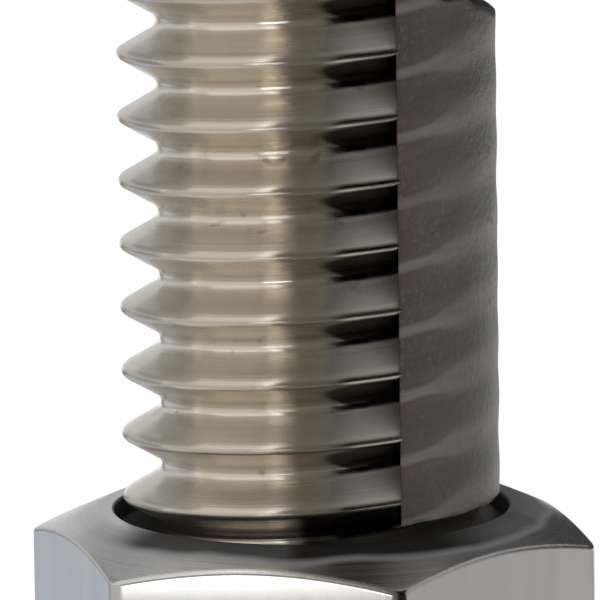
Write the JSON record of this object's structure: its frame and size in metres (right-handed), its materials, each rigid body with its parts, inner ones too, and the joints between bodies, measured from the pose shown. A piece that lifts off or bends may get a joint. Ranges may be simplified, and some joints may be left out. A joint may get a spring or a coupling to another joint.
{
  "type": "adjusting screw",
  "caption": "Hexagon head adjusting screw with a coarse metric thread up to its head and a dark locking patch bonded along one side of the thread.",
  "frame": {"origin": "centre of the head's outer face, on which the screw stands", "axes": "+Z along the screw's axis from the head to the tip, -Y square to one flat of the head, +X through one of its corners"},
  "size_m": [0.009, 0.0078, 0.014],
  "materials": {
    "steel": "bright machined steel with a warm tint, turned on the thread and drawn on the flats",
    "patch_nylon": "matte sprayed nylon, dark brown-grey"
  },
  "bodies": {
    "root": {"screw": "steel", "locking_patch": "patch_nylon"}
  },
  "joints": []
}
